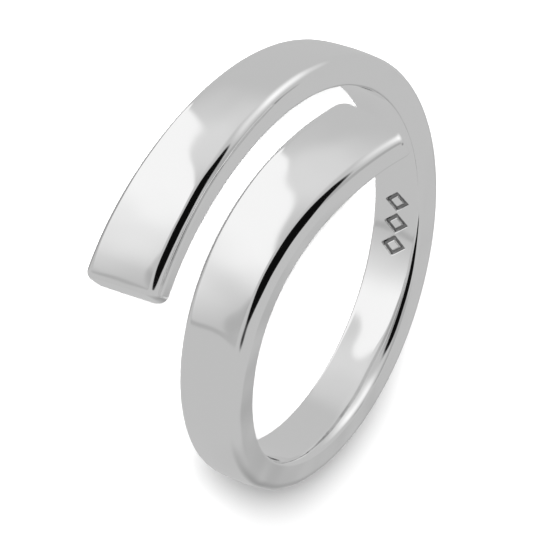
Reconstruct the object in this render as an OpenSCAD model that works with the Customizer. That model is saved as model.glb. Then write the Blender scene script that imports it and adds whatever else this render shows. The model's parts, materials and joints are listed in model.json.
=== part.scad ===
// Bypass ring: one polished band that goes round the finger a little more than once, so that its two
// flat ends pass side by side on top. All sizes are in millimetres and all angles in degrees.
// The band lies on its side as it settles on a table, with the floor at z = 0.

/* [Finger hole] */
// Inner diameter of the band
hole_d = 17.3; // [15:0.1:21]

/* [Band] */
// Turn of the band from one end to the other
wrap = 435.5; // [400:0.5:450]
// Rise of the outer face in the middle of its width
crown = 0.06; // [0:0.01:0.15]
// Rounding of the lower outer edge, on the side the band lies on
lower_outer_round = 0.45; // [0.1:0.05:0.5]
// Rounding of the lower edge at the finger
lower_inner_round = 0.15; // [0.05:0.01:0.2]

/* [Ends] */
// Rounding of each end's corners, seen from outside
corner_round = 0.6; // [0.2:0.05:1]
// Rounding of the outer face into each end
end_round = 0.15; // [0.05:0.01:0.3]
// How far the outer face stops short of the inner face at the first end
first_cut_slant = 0.8; // [0:0.05:1]
// The same at the second end
second_cut_slant = 0.4; // [0:0.05:1]
// Turn of the first end's cut away from square to the edges
first_cut_skew = -14; // [-20:1:20]
// The same at the second end
second_cut_skew = -3; // [-20:1:20]

/* [Marks inside] */
// Length of one lozenge mark along the band
mark_along = 0.95; // [0.7:0.05:1.2]
// Its length across the band
mark_across = 1.25; // [0.7:0.05:1.6]
// Width of its groove
mark_groove = 0.15; // [0.08:0.01:0.2]
// Depth of its groove
mark_depth = 0.12; // [0.05:0.01:0.3]
// Distance from mark to mark
mark_pitch = 1.1; // [0.6:0.05:2]
// Place of the middle mark, as a turn from the first end
mark_turn = 182; // [120:1:260]

/* [Rest] */
// How far the finger hole leans from upright when the band lies on its side
rest_tilt = 11.7; // [0:0.1:25]
// Direction of that lean round the finger hole
rest_turn = 1.8; // [-180:0.1:180]

/* [Hidden] */

// The band's sections, at equal shares of its turn from the first end to the second. Each column is
// the row of control values of a smooth curve that starts and ends on its first and last value.
WIDTH = 0;        // size along the finger
OFFSET = 1;       // place of the middle of the width along the finger
WALL = 2;         // thickness
OUTER_ROUND = 3;  // rounding of the upper outer edge
INNER_REACH = 4;  // how far the rounding of the upper edge at the finger reaches across the band
SECTIONS = [
    [4.00, -3.70, 1.25, 0.60, 0.15],
    [3.45, -2.15, 1.40, 0.50, 0.15],
    [3.20, -1.55, 1.45, 0.45, 0.15],
    [2.60, -0.75, 1.75, 0.45, 0.10],
    [2.55, -0.25, 1.90, 0.45, 0.20],
    [2.65,  0.20, 1.70, 0.45, 1.10],
    [2.60,  0.65, 1.45, 0.45, 0.15],
    [3.10,  1.45, 1.55, 0.45, 0.15],
    [3.50,  2.05, 1.40, 0.65, 0.15],
    [4.20,  4.25, 1.20, 0.45, 0.15],
];
mark_count = 3;
first_end_angle = 190;    // where the first end lies round the finger hole
hole_r = hole_d / 2;
layout_depth = 0.8;       // height above the hole at which lengths along the band are measured
layout_r = hole_r + layout_depth;
ring_step = 3.4;          // turn between sections
edge_step = 22.5;         // turn between the facets of an outer edge
inner_edge_step = 32.5;   // turn between the facets of an inner edge
inner_edge_start = 25;    // turn at which those facets leave the finger hole
crown_stations = [0.67, 0.33, 0, -0.33, -0.67];     // across the outer face, edge to edge
corner_stations = [0, 0.07, 0.2, 0.42, 0.7, 1];     // along a rounded corner, from the end
most_round = 0.45;        // an outer edge's rounding takes no more than this share of the wall
cut_blend = 12;           // turn over which a slanted cut fades into the band
skew_blend = 30;          // turn over which a skewed cut fades into the band
bore_bite = 0.2;          // stock left inside the hole, which the bore takes away
hole_reach = 10;          // half length of the bore cutter
mark_start = 0.3;         // how far inside the hole a mark's cutter starts

// Smooth curve through one column, at a share from 0 to 1 of the turn
last = len(SECTIONS) - 1;
function column(c) = let (v = [for (row = SECTIONS) row[c]])
    concat([2 * v[0] - v[1]], v, [2 * v[last] - v[last - 1]]);
WIDTHS = column(WIDTH);
OFFSETS = column(OFFSET);
WALLS = column(WALL);
OUTER_ROUNDS = column(OUTER_ROUND);
INNER_REACHES = column(INNER_REACH);
function span(share) = min(floor(share * last), last - 1);
function smooth(v, share) = let (i = span(share), f = share * last - i)
    (v[i] * pow(1 - f, 3) + v[i + 1] * (3 * pow(f, 3) - 6 * f * f + 4)
    + v[i + 2] * (-3 * pow(f, 3) + 3 * f * f + 3 * f + 1) + v[i + 3] * pow(f, 3)) / 6;
function smooth_rate(v, share) = let (i = span(share), f = share * last - i)
    (-v[i] * pow(1 - f, 2) + v[i + 1] * (3 * f * f - 4 * f)
    + v[i + 2] * (-3 * f * f + 2 * f + 1) + v[i + 3] * f * f) / 2 * last;

// Length along the band for a turn, and the angle at which the band climbs along the finger
function arc(turn) = turn * PI / 180 * layout_r;
function climb(turn) = atan(smooth_rate(OFFSETS, turn / wrap) / arc(wrap));

// How much a rounding of radius r takes off at a distance from the end
function taken(distance, r) = distance < r ? r - sqrt(r * r - pow(r - distance, 2)) : 0;
function to_end(turn) = min(turn, wrap - turn);
function fade(distance, reach) = max(0, 1 - distance / reach);

// One rim of a section as [height, across] pairs, from the finger hole up to the outer face. Height is
// measured from the hole, and across from the middle of the width. The outer edge is rounded by o. The
// edge at the finger is rounded over reach across the band, and less high where that is wide.
function rim(half, edge, o, reach) = let (up = sqrt(reach * lower_inner_round)) concat(
    [[-bore_bite, half - reach + reach * sin(inner_edge_start)]],
    [for (a = [inner_edge_start : inner_edge_step : 90])
        [up - up * cos(a), half - reach + reach * sin(a)]],
    [for (a = [0 : edge_step : 90]) [edge - o + o * sin(a), half - o + o * cos(a)]]);

// One section, round from the upper rim over the outer face and down the lower rim
function section(half, wall, outer, reach) = let (
        edge = wall - crown,
        o = min(outer, most_round * wall),
        lower_o = min(lower_outer_round, most_round * wall),
        upper = rim(half, edge, o, reach),
        lower = rim(half, edge, lower_o, lower_inner_round))
    concat(
        upper,
        [for (f = crown_stations)
            [edge + crown * (1 - f * f), f * (half - (o + lower_o) / 2) + (lower_o - o) / 2]],
        [for (k = [len(lower) - 1 : -1 : 0]) [lower[k][0], -lower[k][1]]]);

// A section's points in space. Sections stand square to the climbing middle line. Near the ends they
// swing to the cut's skew, and their outer side slides back along the band by the cut's slant.
function section_points(turn) = let (
        share = turn / wrap,
        distance = arc(to_end(turn)),
        half = smooth(WIDTHS, share) / 2 - taken(distance, corner_round),
        wall = smooth(WALLS, share) - taken(distance, end_round),
        rise = climb(turn),
        skew = first_cut_skew * fade(turn, skew_blend) + second_cut_skew * fade(wrap - turn, skew_blend),
        lean = rise + skew,
        slant = first_cut_slant * fade(turn, cut_blend) - second_cut_slant * fade(wrap - turn, cut_blend))
    [for (p = section(half, wall, smooth(OUTER_ROUNDS, share), smooth(INNER_REACHES, share))) let (
            slide = slant * min(max(p[0] / wall, 0), 1),
            along = slide * cos(rise) - p[1] * sin(lean),
            a = first_end_angle - turn - along / layout_r * 180 / PI,
            r = hole_r + p[0])
        [r * cos(a), r * sin(a), smooth(OFFSETS, share) + p[1] * cos(lean) + slide * sin(rise)]];

// Sections close together on the rounded corners, and evenly spaced between them
corner_turn = corner_round / layout_r * 180 / PI;
corner_turns = corner_stations * corner_turn;
ring_gaps = ceil((wrap - 2 * corner_turn) / ring_step);
turns = concat(corner_turns,
    [for (k = [1 : ring_gaps - 1]) corner_turn + (wrap - 2 * corner_turn) * k / ring_gaps],
    [for (k = [len(corner_turns) - 1 : -1 : 0]) wrap - corner_turns[k]]);
rings = [for (turn = turns) section_points(turn)];
points = [for (ring = rings) each ring];
ring_size = len(rings[0]);
ring_count = len(rings);
faces = concat(
    [[for (j = [ring_size - 1 : -1 : 0]) j]],
    [[for (j = [0 : ring_size - 1]) (ring_count - 1) * ring_size + j]],
    [for (k = [0 : ring_count - 2], j = [0 : ring_size - 1]) let (
            a = k * ring_size + j,
            b = k * ring_size + (j + 1) % ring_size)
        each [[a, b, a + ring_size], [b, b + ring_size, a + ring_size]]]);

// Where the posed band lies, so that it can stand centred on the floor
function posed(p) = let (
        x = p[0] * cos(rest_turn) + p[1] * sin(rest_turn),
        y = p[1] * cos(rest_turn) - p[0] * sin(rest_turn))
    [x * cos(rest_tilt) + p[2] * sin(rest_tilt), y, p[2] * cos(rest_tilt) - x * sin(rest_tilt)];
posed_points = [for (p = points) posed(p)];
xs = [for (p = posed_points) p[0]];
ys = [for (p = posed_points) p[1]];
zs = [for (p = posed_points) p[2]];
stand = [-(min(xs) + max(xs)) / 2, -(min(ys) + max(ys)) / 2, -min(zs)];

// A lozenge outline, with its long way across the band
module lozenge() {
    half_a = mark_across / 2;
    half_b = mark_along / 2;
    inner = 1 - mark_groove * norm([half_a, half_b]) / (half_a * half_b);
    difference() {
        polygon([[half_a, 0], [0, half_b], [-half_a, 0], [0, -half_b]]);
        polygon([[half_a, 0], [0, half_b], [-half_a, 0], [0, -half_b]] * inner);
    }
}

// Cutters of the row of marks inside the band
module marks() {
    for (k = [0 : mark_count - 1]) {
        turn = mark_turn + (k - (mark_count - 1) / 2) * mark_pitch / hole_r * 180 / PI;
        rotate([0, 0, first_end_angle - turn])
            translate([hole_r - mark_start, 0, smooth(OFFSETS, turn / wrap)])
                rotate([0, 90, 0])
                    rotate([0, 0, -climb(turn)])
                        linear_extrude(height = mark_start + mark_depth) lozenge();
    }
}

// The band: a swept bar, bored to a true round hole, with the marks cut inside
module band() {
    color("gainsboro")
        translate(stand) rotate([0, rest_tilt, 0]) rotate([0, 0, -rest_turn]) difference() {
            polyhedron(points = points, faces = faces);
            translate([0, 0, -hole_reach]) cylinder(h = 2 * hole_reach, r = hole_r, $fn = 120);
            marks();
        }
}

band();
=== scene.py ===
import json
import math

import bpy
import numpy as np
from mathutils import Euler, Matrix, Vector


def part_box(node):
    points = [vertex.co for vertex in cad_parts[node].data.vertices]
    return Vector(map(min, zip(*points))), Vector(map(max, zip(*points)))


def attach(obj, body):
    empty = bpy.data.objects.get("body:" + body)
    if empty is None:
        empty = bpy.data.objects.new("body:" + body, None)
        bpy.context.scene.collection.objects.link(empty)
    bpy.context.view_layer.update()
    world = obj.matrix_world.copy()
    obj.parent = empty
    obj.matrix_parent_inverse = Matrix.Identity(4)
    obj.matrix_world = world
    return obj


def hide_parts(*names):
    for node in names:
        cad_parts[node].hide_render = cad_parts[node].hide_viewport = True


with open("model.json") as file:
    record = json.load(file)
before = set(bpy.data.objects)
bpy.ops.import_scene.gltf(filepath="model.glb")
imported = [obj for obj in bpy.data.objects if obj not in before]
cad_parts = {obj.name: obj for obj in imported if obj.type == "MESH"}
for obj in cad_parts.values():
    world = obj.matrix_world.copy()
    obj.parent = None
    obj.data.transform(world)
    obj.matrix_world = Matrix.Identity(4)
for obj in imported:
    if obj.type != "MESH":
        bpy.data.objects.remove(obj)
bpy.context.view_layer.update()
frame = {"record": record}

# The camera: a long lens well back from the ring, looking down on the flat of the band at the passing
# ends. The picture is turned so that the finger hole lies slantwise in it, as when the ring stands on
# its edge.
MM = 0.001                # lengths are in millimetres, apart from those whose name ends in _m
camera_azimuth = 159.57   # degrees from +X towards +Y
camera_elevation = 39.39  # degrees above the floor
camera_roll = 114.55      # degrees from level
camera_distance = 150.78
camera_aim = Vector((-1.73, 0.01, 3.02))
camera_lens = 224.6       # focal length
camera_sensor = 36        # width
nearest_seen_m = 0.005
farthest_seen_m = 10

scene = bpy.context.scene
camera = bpy.data.objects.new("camera", bpy.data.cameras.new("camera"))
scene.collection.objects.link(camera)
scene.camera = camera
camera.data.sensor_width = camera_sensor
camera.data.lens = camera_lens
camera.data.clip_start = nearest_seen_m
camera.data.clip_end = farthest_seen_m
level_look = Euler((math.radians(90 - camera_elevation), 0, math.radians(camera_azimuth + 90))).to_matrix()
look = level_look @ Matrix.Rotation(math.radians(camera_roll), 3, "Z")
lens_place = camera_aim + look @ Vector((0, 0, camera_distance))
camera.matrix_world = Matrix.LocRotScale(lens_place * MM, look, None)

# The band: one bar of sterling silver, cast and bent round the finger a little more than once, so that
# its flat ends pass side by side. Its edges are filed round and it is buffed all over to a mirror.
# It is one smooth mesh that stands in for the whole of node "band". Near means towards the camera.
hole = frame["record"]["mounts"][0]
hole_r = hole["dims"]["r_mm"]
wrap = 435.5              # turn from one end to the other, in degrees
first_end_angle = 190     # where the first end lies round the finger hole
layout_height = 0.8       # height above the finger hole at which lengths along the band are measured
layout_r = hole_r + layout_height
crown = 0.06              # rise of the outer face in the middle of its width
far_outer_round = 0.45    # rounding of the outer edge on the far side
far_inner_round = 0.15    # rounding of the far edge at the finger
most_round = 0.45         # an outer edge's rounding takes no more than this share of the wall
corner_round = 0.6        # rounding of each end's corners, seen from outside
end_round = 0.15          # rounding of the outer face into each end
end_inner_round = 0.1     # rounding of the inner face into each end
cut_slants = (0.8, 0.4)   # how far the outer face stops short of the inner face at each end
cut_skews = (-14, -3)     # turn of each end's cut away from square to the edges
cut_blend = 12            # turn over which a slanted cut fades into the band
skew_blend = 30           # turn over which a skewed cut fades into the band

# Control values at equal shares of the wrap, from the first end to the second: width along the finger,
# place of its middle, thickness, rounding of the near outer edge, and how far across the band the
# rounding of the near edge at the finger reaches
widths = (4.00, 3.45, 3.20, 2.60, 2.55, 2.65, 2.60, 3.10, 3.50, 4.20)
offsets = (-3.70, -2.15, -1.55, -0.75, -0.25, 0.20, 0.65, 1.45, 2.05, 4.25)
walls = (1.25, 1.40, 1.45, 1.75, 1.90, 1.70, 1.45, 1.55, 1.40, 1.20)
near_outer_rounds = (0.60, 0.50, 0.45, 0.45, 0.45, 0.45, 0.45, 0.45, 0.65, 0.45)
near_inner_reaches = (0.15, 0.15, 0.15, 0.10, 0.20, 1.10, 0.15, 0.15, 0.15, 0.15)


def smooth(controls, share):
    """Value and rate, at a share of the wrap, of the smooth curve that a row of control values leads."""
    v = (2 * controls[0] - controls[1], *controls, 2 * controls[-1] - controls[-2])
    last = len(controls) - 1
    i = min(int(share * last), last - 1)
    f = share * last - i
    value = (v[i] * (1 - f) ** 3 + v[i + 1] * (3 * f ** 3 - 6 * f * f + 4)
             + v[i + 2] * (3 * f + 3 * f * f - 3 * f ** 3 + 1) + v[i + 3] * f ** 3) / 6
    rate = (-v[i] * (1 - f) ** 2 + v[i + 1] * (3 * f * f - 4 * f)
            + v[i + 2] * (2 * f - 3 * f * f + 1) + v[i + 3] * f * f) / 2 * last
    return value, rate


def taken(distance, radius):
    """How much a rounding of that radius takes off at a distance from the end."""
    return radius - math.sqrt(radius ** 2 - (radius - distance) ** 2) if distance < radius else 0


# A row of three lozenge outlines is punched into the inner face of the band, opposite the passing ends.
# The punch leaves a narrow groove with sloping walls round each, and its floor stays darker than the
# polished face.
mark_count = 3
mark_turn = 182           # place of the middle lozenge
mark_pitch = 1.1          # distance from lozenge to lozenge
mark_along = 0.95         # a lozenge's length along the band
mark_across = 1.25        # its length across the band
mark_groove = 0.15        # width of its groove
mark_depth = 0.12         # depth of its groove
mark_flank = 0.04         # width over which a wall of the groove slopes down
mark_zone = 0.75          # half width of the strip that holds the row
mark_half_row = mark_count / 2 * mark_pitch + mark_groove   # half its length, grooves included
zone_gap = 0.02           # least distance from that strip to the near edge's rounding


def groove(turn, across):
    """Share of the grooves' full depth at a place on the inner face."""
    deepest = 0
    for k in range(mark_count):
        along = math.radians(turn - mark_turn) * hole_r - (k - (mark_count - 1) / 2) * mark_pitch
        a = mark_across / 2
        b = mark_along / 2
        outside = (abs(across) / a + abs(along) / b - 1) * a * b / math.hypot(a, b)
        from_middle = abs(outside + mark_groove / 2)
        rise = min(max((mark_groove / 2 - from_middle) / mark_flank + 0.5, 0), 1)
        deepest = max(deepest, rise * rise * (3 - 2 * rise))
    return deepest


def mark_near(turn):
    """Whether a section at this turn crosses the row of lozenges."""
    return abs(math.radians(turn - mark_turn)) * hole_r < mark_half_row


# Points of a section: across a plain stretch and the marked strip of the inner face, round an inner and
# an outer edge, over the crown, and up a side face
plain_points = 6
mark_points = 46
inner_edge_points = 12
outer_edge_points = 15
crown_points = 19
side_shares = np.array([0.05, 0.2, 0.5, 0.8, 0.95])


def section(turn):
    """One section of the bar: heights above the finger hole, places across, groove depths and thickness."""
    share = turn / wrap
    distance = math.radians(min(turn, wrap - turn)) * layout_r
    half = smooth(widths, share)[0] / 2 - taken(distance, corner_round)
    wall = smooth(walls, share)[0] - taken(distance, end_round)
    lift = taken(distance, end_inner_round)
    reach = smooth(near_inner_reaches, share)[0]
    zone = min(mark_zone, half - reach - zone_gap)
    face = np.concatenate([
        np.linspace(far_inner_round - half, -zone, plain_points)[:-1],
        np.linspace(-zone, zone, mark_points),
        np.linspace(zone, half - reach, plain_points)[1:],
    ])
    depths = np.array([groove(turn, s) for s in face]) if mark_near(turn) else np.zeros(len(face))
    turn_in = np.linspace(0, math.pi / 2, inner_edge_points)[1:]
    near_outer_round = smooth(near_outer_rounds, share)[0]
    edges = (
        # outer edge's rounding, and how far the finger edge's reaches across and up: near, then far
        (near_outer_round, reach, math.sqrt(reach * far_inner_round)),
        (far_outer_round, far_inner_round, far_inner_round),
    )
    rims = []
    for outer_round, across, up in edges:
        outer = min(outer_round, most_round * wall)
        shoulder = half - outer
        start = wall - crown - outer
        foot = half - across
        bottom = lift + up
        turn_out = np.linspace(0, math.atan2(shoulder, 2 * crown), outer_edge_points)
        side = bottom + side_shares * (start - bottom)
        rim_h = np.concatenate([bottom - up * np.cos(turn_in), side, start + outer * np.sin(turn_out)])
        rim_s = np.concatenate([
            foot + across * np.sin(turn_in),
            np.full(len(side), half),
            shoulder + outer * np.cos(turn_out),
        ])
        rims.append((rim_h, rim_s))
    (near_h, near_s), (far_h, far_s) = rims
    middle = (near_s[-1] - far_s[-1]) / 2
    spread = (near_s[-1] + far_s[-1]) / 2
    top = np.cos(np.linspace(0, math.pi, crown_points))[1:-1]
    brim = (near_h[-1] + far_h[-1]) / 2 + (near_h[-1] - far_h[-1]) / 2 * top
    h = np.concatenate([lift + mark_depth * depths, near_h, brim + crown * (1 - top ** 2), far_h[::-1]])
    s = np.concatenate([face, near_s, middle + spread * top, -far_s[::-1]])
    grooves = np.zeros(len(h))
    grooves[:len(face)] = depths
    return h, s, grooves, wall


def place(turn, h, s, wall):
    """Points in space of a section's points. Sections stand square to the climbing middle line, swing to
    the cut's skew near the ends, and slide back along the band by the cut's slant."""
    offset, rate = smooth(offsets, turn / wrap)
    rise = math.atan(rate / (math.radians(wrap) * layout_r))
    ends = (turn, wrap - turn)
    lean = rise + math.radians(sum(k * max(0, 1 - e / skew_blend) for k, e in zip(cut_skews, ends)))
    slants = [k * max(0, 1 - e / cut_blend) for k, e in zip(cut_slants, ends)]
    slide = (slants[0] - slants[1]) * np.clip(h / wall, 0, 1)
    along = slide * math.cos(rise) - s * math.sin(lean)
    angle = math.radians(first_end_angle - turn) - along / layout_r
    r = hole_r + h
    z = offset + s * math.cos(lean) + slide * math.sin(rise)
    return np.stack([r * np.cos(angle), r * np.sin(angle), z], 1)


# Sections stand close together on the rounded ends and at the marks, and a degree apart elsewhere
end_points = 10
mark_step = 0.2
plain_step = 1.0
quarter = np.linspace(0, math.pi / 2, end_points)
end_turns = [end_round * (1 - math.cos(a)) for a in quarter]
end_turns += [d for d in corner_round * (1 - np.cos(quarter)) if d > end_round]
end_turns = np.degrees(np.array(end_turns) / layout_r)
mark_reach = math.degrees(mark_half_row / hole_r)
turns = np.concatenate([
    end_turns,
    np.arange(end_turns[-1] + plain_step / 2, mark_turn - mark_reach - plain_step / 2, plain_step),
    np.arange(mark_turn - mark_reach, mark_turn + mark_reach, mark_step),
    np.arange(mark_turn + mark_reach + plain_step / 2, wrap - end_turns[-1] - plain_step / 2, plain_step),
    wrap - end_turns[::-1],
])
rings = [section(t) for t in turns]
ring_size = len(rings[0][0])
points = [place(t, h, s, wall) for t, (h, s, _, wall) in zip(turns, rings)]
groove_shares = [g for _, _, g, _ in rings]
faces = []
for k in range(len(turns) - 1):
    for j in range(ring_size):
        a = k * ring_size + j
        b = k * ring_size + (j + 1) % ring_size
        faces.append((a, a + ring_size, b + ring_size, b))

# Each flat end closes with loops that shrink to the middle of its section
cap_shares = (0.97, 0.85, 0.6, 0.3)
for k, flip in ((0, False), (len(turns) - 1, True)):
    h, s, _, wall = rings[k]
    middle_h = (h.max() + h.min()) / 2
    outer = k * ring_size
    for share in cap_shares:
        inner = sum(len(p) for p in points)
        points.append(place(turns[k], middle_h + share * (h - middle_h), share * s, wall))
        groove_shares.append(np.zeros(ring_size))
        for j in range(ring_size):
            n = (j + 1) % ring_size
            quad = (outer + j, outer + n, inner + n, inner + j)
            faces.append(quad[::-1] if flip else quad)
        outer = inner
    cap = tuple(range(outer, outer + ring_size))
    faces.append(cap[::-1] if flip else cap)

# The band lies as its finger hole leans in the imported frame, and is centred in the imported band's box
rest_turn = 1.8           # degrees round the finger hole
axis = Vector(hole["axis"])
tilt = Matrix.Rotation(math.atan2(axis.x, axis.z), 3, "Y")
lying = tilt @ Matrix.Rotation(math.radians(-rest_turn), 3, "Z")
points_m = np.concatenate(points) @ np.array(lying).T * MM
low_m, high_m = (np.array(corner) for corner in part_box("band"))
points_m[:, :2] += (low_m + high_m)[:2] / 2 - (points_m.min(0) + points_m.max(0))[:2] / 2
points_m[:, 2] += low_m[2] - points_m[:, 2].min()

mesh = bpy.data.meshes.new("silver_band")
mesh.from_pydata(points_m.tolist(), [], faces)
mesh.update()
mesh.polygons.foreach_set("use_smooth", [True] * len(mesh.polygons))
depth = mesh.attributes.new("groove", "FLOAT", "POINT")
depth.data.foreach_set("value", np.concatenate(groove_shares))
band = bpy.data.objects.new("silver_band", mesh)
scene.collection.objects.link(band)
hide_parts("band")
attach(band, "root")


def linear(code):
    """The linear colour of an sRGB hex value, with full alpha."""
    parts = [int(code[i:i + 2], 16) / 255 for i in (0, 2, 4)]
    return (*[c / 12.92 if c <= 0.04045 else ((c + 0.055) / 1.055) ** 2.4 for c in parts], 1)


def add(tree, kind, inputs=None, **settings):
    """A new node with its settings, and each input set to a value or linked to a socket."""
    made = tree.nodes.new(kind)
    for name, value in settings.items():
        setattr(made, name, value)
    for name, value in (inputs or {}).items():
        if isinstance(value, bpy.types.NodeSocket):
            tree.links.new(value, made.inputs[name])
        else:
            made.inputs[name].default_value = value
    return made


# Sterling silver, buffed to a mirror: a bright neutral metal with clear reflections. The wheel leaves the
# faces faintly wavy, which bends the reflections' borders, and a trace hazy in spots. In the grooves,
# which the wheel doesn't reach, the metal is darker.
wave_size = 4.0                    # from crest to crest
wave_height = 0.3
wave_start = (-17.4, -28.3, 2.8)   # from the pattern's own zero point, so that the waves suit the faces
haze_size = 0.8                    # from spot to spot, wider than real polishing marks so that it shows
least_rough = 0.05
most_rough = 0.1
polished_colour = "F6F6F6"
groove_colour = "8B8B8B"
silver = bpy.data.materials.new("mirror_polished_silver")
silver.use_nodes = True
tree = silver.node_tree
tree.nodes.clear()
where = add(tree, "ShaderNodeTexCoord").outputs["Object"]
moved = add(tree, "ShaderNodeVectorMath", {0: where, 1: [c * MM for c in wave_start]}, operation="ADD")
wave = add(tree, "ShaderNodeTexNoise", {
    "Vector": moved.outputs[0],
    "Scale": 1 / (wave_size * MM),
    "Detail": 1.0,
})
wavy = add(tree, "ShaderNodeBump", {
    "Height": wave.outputs["Fac"],
    "Strength": 1.0,
    "Distance": wave_height * MM,
})
haze = add(tree, "ShaderNodeTexNoise", {
    "Vector": where,
    "Scale": 1 / (haze_size * MM),
    "Detail": 3.0,
})
rough = add(tree, "ShaderNodeMapRange", {
    "Value": haze.outputs["Fac"],
    "To Min": least_rough,
    "To Max": most_rough,
})
deep = add(tree, "ShaderNodeAttribute", attribute_name="groove")
colour = add(tree, "ShaderNodeMix", {
    "Factor": deep.outputs["Fac"],
    "A": linear(polished_colour),
    "B": linear(groove_colour),
}, data_type="RGBA")
shader = add(tree, "ShaderNodeBsdfPrincipled", {
    "Base Color": colour.outputs["Result"],
    "Metallic": 1.0,
    "Roughness": rough.outputs["Result"],
    "Normal": wavy.outputs["Normal"],
})
add(tree, "ShaderNodeOutputMaterial", {"Surface": shader.outputs["BSDF"]})
mesh.materials.append(silver)

# The tent that the polished metal mirrors: pale grey cloth round the ring, with a white sheet, a soft
# light at the side and the dark room behind the camera. It is the world's shader, as soft-edged panels
# laid over each other, and it lights nothing but the metal.
tent_grey = 0.555
panels = (
    # azimuth, elevation, half width and half height in degrees, blur as a share of those, rounded or
    # square, and the brightness towards the lower and the higher azimuth
    (120, -19, 22, 15, 1.0, "LENGTH", 0.74, 0.74),          # grey card beside the white sheet
    (172, -52, 46.5, 46.5, 0.03, "LENGTH", 0.99, 0.54),     # white sheet below the camera
    (236, -40, 30, 50, 0.03, "MAXIMUM", 0.555, 0.555),      # tent wall that hides the end of that sheet
    (205, -20, 1.4, 14, 0.7, "MAXIMUM", 0.44, 0.44),        # dark fold where the sheet ends
    (197, -7, 8, 3.5, 0.6, "LENGTH", 0.45, 0.45),           # dark fold above it
    (314, -6, 28, 16, 1.0, "LENGTH", 0.34, 0.34),           # darker stretch of the far wall
    (5, 50, 12, 8, 0.15, "LENGTH", 0.31, 0.31),             # dark clip on the far wall
    (85, 74, 30, 9, 0.4, "LENGTH", 0.42, 0.42),             # darker roof
    (78, 22, 20, 22, 1.0, "LENGTH", 1.06, 1.06),            # soft light at the side
    (168, 42, 39, 32, 0.07, "LENGTH", 0.004, 0.004),        # dark hole that the camera looks through
    (0, -90, 17, 17, 0.4, "LENGTH", 0.33, 0.33),            # dark foot of the tent
)
# A panel's brightness runs from the one value to the other between these shares of its half width
ramp_start = -0.4
ramp_end = 0.9


def turned(azimuth, elevation):
    """The turn that points +X at an azimuth and an elevation."""
    return Matrix.Rotation(math.radians(azimuth), 3, "Z") @ Matrix.Rotation(math.radians(-elevation), 3, "Y")


world = bpy.data.worlds.new("tent")
scene.world = world
world.use_nodes = True
tree = world.node_tree
tree.nodes.clear()
way = add(tree, "ShaderNodeTexCoord").outputs["Generated"]
level = add(tree, "ShaderNodeValue").outputs[0]
level.default_value = tent_grey
for azimuth, elevation, half_wide, half_high, blur, shape, lower, higher in panels:
    facing = turned(azimuth, elevation)
    ahead, sideways, upwards = [
        add(tree, "ShaderNodeVectorMath", {0: way, 1: own}, operation="DOT_PRODUCT").outputs["Value"]
        for own in facing.col
    ]
    aside = add(tree, "ShaderNodeMath", {0: sideways, 1: ahead}, operation="ARCTAN2").outputs[0]
    above = add(tree, "ShaderNodeMath", {0: upwards}, operation="ARCSINE").outputs[0]
    shares = [
        add(tree, "ShaderNodeMath", {0: angle, 1: math.radians(half)}, operation="DIVIDE").outputs[0]
        for angle, half in ((aside, half_wide), (above, half_high))
    ]
    pair = add(tree, "ShaderNodeCombineXYZ", {"X": shares[0], "Y": shares[1]}).outputs[0]
    if shape == "LENGTH":
        away = add(tree, "ShaderNodeVectorMath", {0: pair}, operation="LENGTH").outputs["Value"]
    else:
        sizes = [add(tree, "ShaderNodeMath", {0: part}, operation="ABSOLUTE").outputs[0] for part in shares]
        away = add(tree, "ShaderNodeMath", {0: sizes[0], 1: sizes[1]}, operation="MAXIMUM").outputs[0]
    inside = add(tree, "ShaderNodeMapRange", {
        "Value": away,
        "From Min": 1 + blur,
        "From Max": 1 - blur,
    }, interpolation_type="SMOOTHSTEP")
    bright = add(tree, "ShaderNodeMapRange", {
        "Value": shares[0],
        "From Min": ramp_start,
        "From Max": ramp_end,
        "To Min": lower,
        "To Max": higher,
    }, interpolation_type="SMOOTHSTEP")
    level = add(tree, "ShaderNodeMix", {
        "Factor": inside.outputs["Result"],
        "A": level,
        "B": bright.outputs["Result"],
    }, data_type="FLOAT").outputs[0]
world.cycles_visibility.diffuse = False
light = add(tree, "ShaderNodeBackground", {"Color": level})
add(tree, "ShaderNodeOutputWorld", {"Surface": light.outputs[0]})

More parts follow.
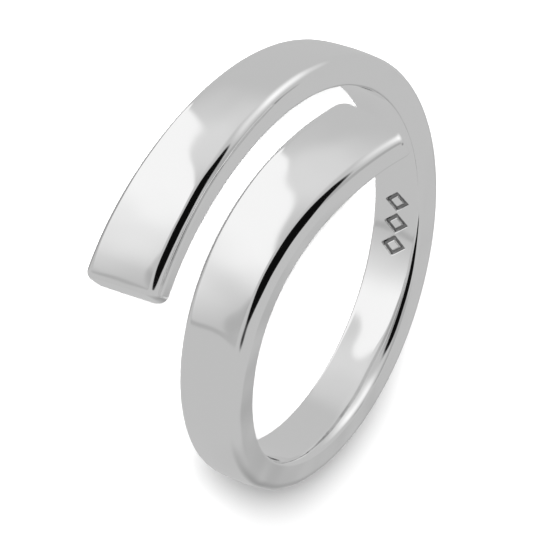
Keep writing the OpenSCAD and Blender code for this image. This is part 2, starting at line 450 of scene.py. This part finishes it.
# The floor: a wide sheet of matt white paper on a table, with the ring lying on it. The metal doesn't
# mirror it, because the tent's sheet stands for what lies below the ring.
floor_r_m = 0.8
floor_sides = 96
floor_colour = "F2F2F2"
bpy.ops.mesh.primitive_circle_add(vertices=floor_sides, radius=floor_r_m, fill_type="NGON")
floor = bpy.context.object
floor.name = "floor"
floor.visible_glossy = False
paper = bpy.data.materials.new("white_paper")
paper.use_nodes = True
paper.node_tree.nodes["Principled BSDF"].inputs["Base Color"].default_value = linear(floor_colour)
paper.node_tree.nodes["Principled BSDF"].inputs["Roughness"].default_value = 0.9
floor.data.materials.append(paper)

# The lamps: a key light far behind the camera, and a wide weak one overhead that fills the floor's
# shadows. The metal doesn't mirror them.
lamps = (
    # name, azimuth, elevation, distance in m, size in m, power in W
    ("key", 151, 35, 1.5, 0.45, 42),
    ("roof", 0, 90, 1.0, 1.2, 2.8),
)
for name, azimuth, elevation, distance_m, size_m, power in lamps:
    lamp = bpy.data.objects.new(name, bpy.data.lights.new(name, "AREA"))
    scene.collection.objects.link(lamp)
    lamp.data.shape = "DISK"
    lamp.data.size = size_m
    lamp.data.energy = power
    facing = turned(azimuth, elevation)
    lamp.location = facing @ Vector((distance_m, 0, 0)) + camera_aim * MM
    lamp.rotation_mode = "QUATERNION"
    lamp.rotation_quaternion = (facing @ Vector((1, 0, 0))).to_track_quat("Z", "Y")
    lamp.visible_glossy = False

# A small spotlight at the lens takes the shadows off the floor seen through the finger hole and the gap,
# and leaves the one below the ring
spot_power = 1.2          # W
spot_r_m = 0.001
spot_cone = 9.8           # degrees across
spot_blend = 0.46         # share of the cone over which its edge fades
spot_shift = Vector((-3, 3, 0))     # to the left and up in the picture, from where the camera looks
spot_aim = camera_aim + look @ spot_shift
lamp = bpy.data.objects.new("fill", bpy.data.lights.new("fill", "SPOT"))
scene.collection.objects.link(lamp)
lamp.data.energy = spot_power
lamp.data.shadow_soft_size = spot_r_m
lamp.data.spot_size = math.radians(spot_cone)
lamp.data.spot_blend = spot_blend
lamp.location = camera.matrix_world.translation
lamp.rotation_mode = "QUATERNION"
lamp.rotation_quaternion = (lamp.location - spot_aim * MM).to_track_quat("Z", "Y")
lamp.visible_glossy = False

scene.view_settings.view_transform = "Standard"
